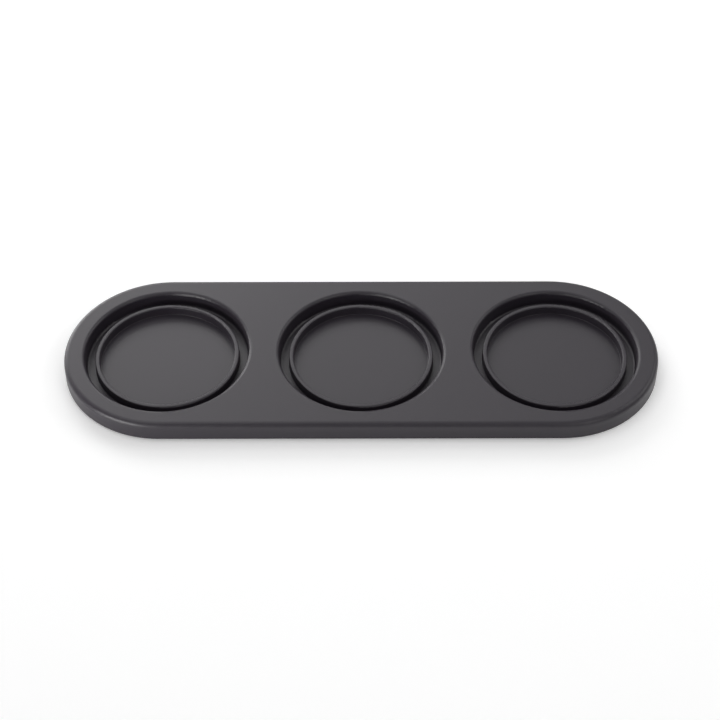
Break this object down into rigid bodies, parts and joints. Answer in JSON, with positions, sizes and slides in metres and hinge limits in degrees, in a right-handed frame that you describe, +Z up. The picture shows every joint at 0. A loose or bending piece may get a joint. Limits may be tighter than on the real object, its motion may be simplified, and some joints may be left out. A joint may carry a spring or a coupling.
{
  "type": "three-well serving tray",
  "caption": "Long round-ended moulded tray with a row of round wells, a raised locating ring and moat in each, on push-in rubber feet.",
  "frame": {"origin": "centre of the footprint, on the surface that the feet stand on", "axes": "+X along the tray, +Y to its back, +Z up, out of the wells"},
  "size_m": [0.3998, 0.1376, 0.0139],
  "materials": {
    "body": "satin charcoal moulding with a very fine tool texture",
    "feet": "matt black rubber"
  },
  "bodies": {
    "root": {"tray_body": "body", "foot_end_front_left": "feet", "foot_mid_front_left": "feet", "foot_end_back_left": "feet", "foot_mid_back_left": "feet", "foot_end_front_right": "feet", "foot_mid_front_right": "feet", "foot_end_back_right": "feet", "foot_mid_back_right": "feet"}
  },
  "joints": []
}
